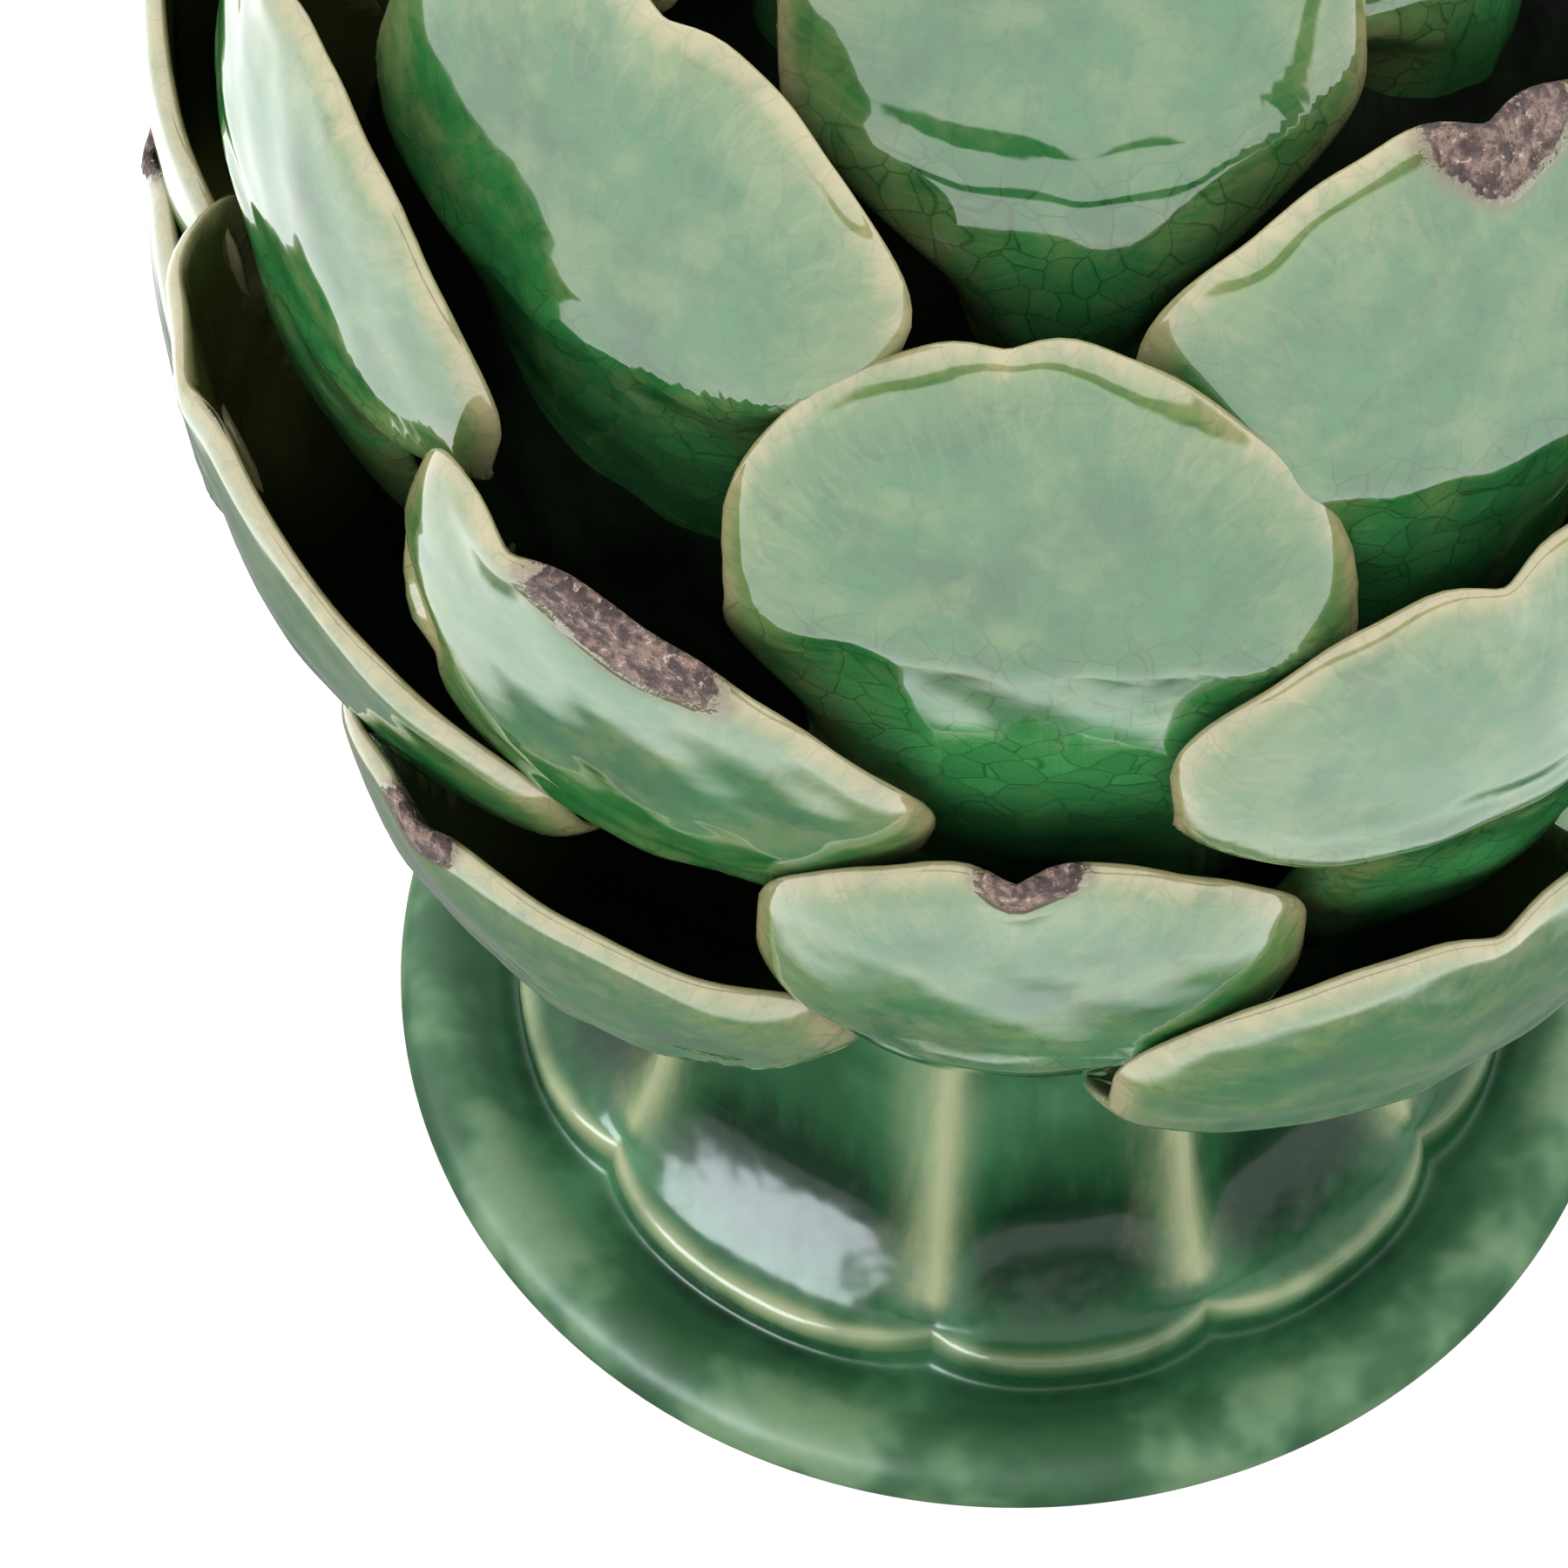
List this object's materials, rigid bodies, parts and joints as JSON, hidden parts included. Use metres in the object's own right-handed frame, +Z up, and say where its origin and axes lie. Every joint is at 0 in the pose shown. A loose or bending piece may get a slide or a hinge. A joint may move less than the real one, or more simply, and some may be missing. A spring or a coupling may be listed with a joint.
{
  "type": "glazed ceramic artichoke ornament",
  "caption": "Glazed ceramic artichoke: thick overlapping clay leaves round a bulb, on a pedestal with a fluted, scalloped round foot.",
  "frame": {"origin": "middle of the flat underside of the foot", "axes": "+Z up along the pedestal's axis, -Y towards the front leaf of the lowest full ring, +X to the right seen from the front"},
  "size_m": [0.1555, 0.1567, 0.2159],
  "materials": {
    "leaf_glaze": "clear glossy green glaze, cream where it breaks thin on rims, finely crackled, with bare matte brown spots at some leaf tips",
    "foot_glaze": "clear glossy green glaze, dark where it pools between flutes, cream along the ribs and the scalloped edge"
  },
  "bodies": {
    "root": {"head": "leaf_glaze", "foot": "foot_glaze"}
  },
  "joints": []
}
